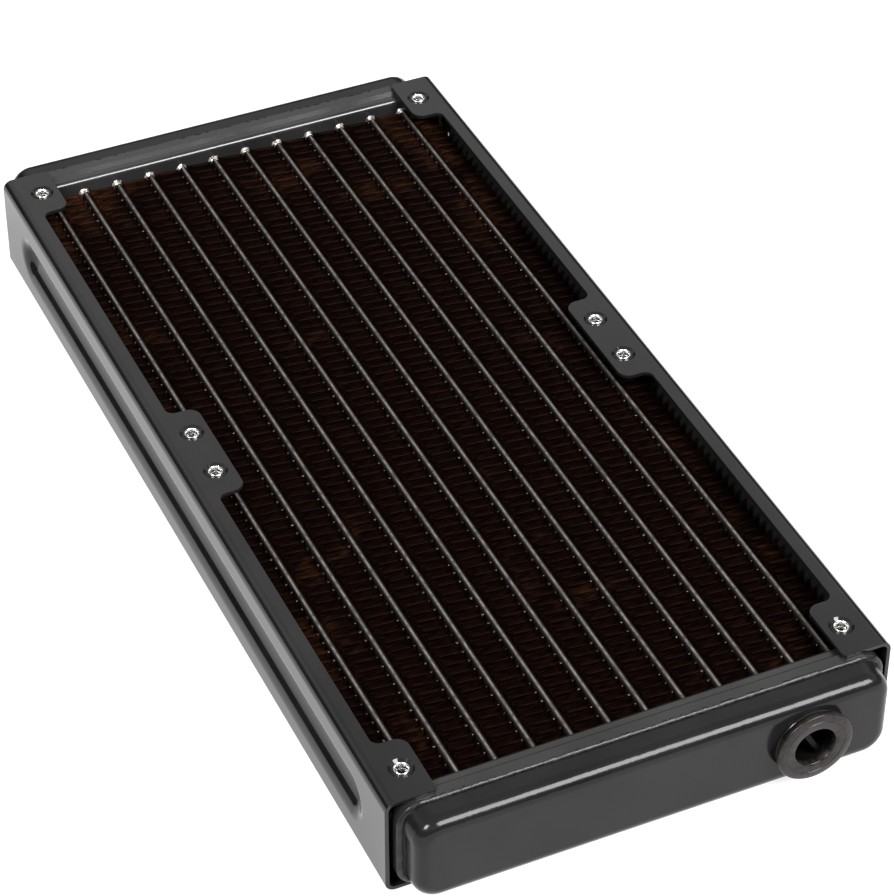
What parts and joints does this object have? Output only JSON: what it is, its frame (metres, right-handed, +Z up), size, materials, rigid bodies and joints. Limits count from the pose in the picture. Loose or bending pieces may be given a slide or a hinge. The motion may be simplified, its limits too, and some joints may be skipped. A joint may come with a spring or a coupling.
{
  "type": "liquid cooling radiator",
  "caption": "Flat black liquid cooling radiator with folded side frames, flat tubes, corrugated fins, drawn end tanks, threaded fan holes and screw-plugged port",
  "frame": {"origin": "on the resting plane, under the centre of the fan hole pattern", "axes": "+Y along the tubes from the plugged port's end to the open port's end, +Z up through the thickness"},
  "size_m": [0.1204, 0.2619, 0.026],
  "materials": {
    "frame_paint": "satin black paint",
    "black_paint": "satin black paint",
    "boss_paint": "satin black paint over brass",
    "tube_brass": "thin black paint over brass",
    "fin_copper": "thin black paint over copper",
    "bush_steel": "bright zinc plate",
    "plug_plastic": "moulded black",
    "seal_rubber": "matt"
  },
  "bodies": {
    "radiator": {"coolant_tube_01": "tube_brass", "coolant_tube_02": "tube_brass", "coolant_tube_03": "tube_brass", "coolant_tube_04": "tube_brass", "coolant_tube_05": "tube_brass", "coolant_tube_06": "tube_brass", "coolant_tube_07": "tube_brass", "coolant_tube_08": "tube_brass", "coolant_tube_09": "tube_brass", "coolant_tube_10": "tube_brass", "coolant_tube_11": "tube_brass", "coolant_tube_12": "tube_brass", "fin_strip_01": "fin_copper", "fin_strip_02": "fin_copper", "fin_strip_03": "fin_copper", "fin_strip_04": "fin_copper", "fin_strip_05": "fin_copper", "fin_strip_06": "fin_copper", "fin_strip_07": "fin_copper", "fin_strip_08": "fin_copper", "fin_strip_09": "fin_copper", "fin_strip_10": "fin_copper", "fin_strip_11": "fin_copper", "fin_strip_12": "fin_copper", "fin_strip_13": "fin_copper", "front_header_plate": "black_paint", "front_port_boss": "boss_paint", "front_tank": "black_paint", "left_side_frame": "frame_paint", "left_thread_bushes": "bush_steel", "rear_header_plate": "black_paint", "rear_port_boss": "boss_paint", "rear_tank": "black_paint", "right_side_frame": "frame_paint", "right_thread_bushes": "bush_steel"},
    "seal_carrier": {"front_port_seal_ring": "seal_rubber"},
    "plug": {"front_port_plug": "plug_plastic"}
  },
  "joints": [
    {"name": "plug_travel", "type": "slide", "parent": "radiator", "child": "seal_carrier", "axis": [0, -1, 0], "range_m": [0, 0.00668]},
    {"name": "plug_turn", "type": "hinge", "parent": "seal_carrier", "child": "plug", "pos_m": [0.0363, -0.1299, 0.013], "axis": [0, -1, 0], "range_deg": [0, 1800]}
  ],
  "couplings": [
    {"joint": "plug_turn", "follows": "plug_travel", "rad_per_m": 4699.5}
  ]
}
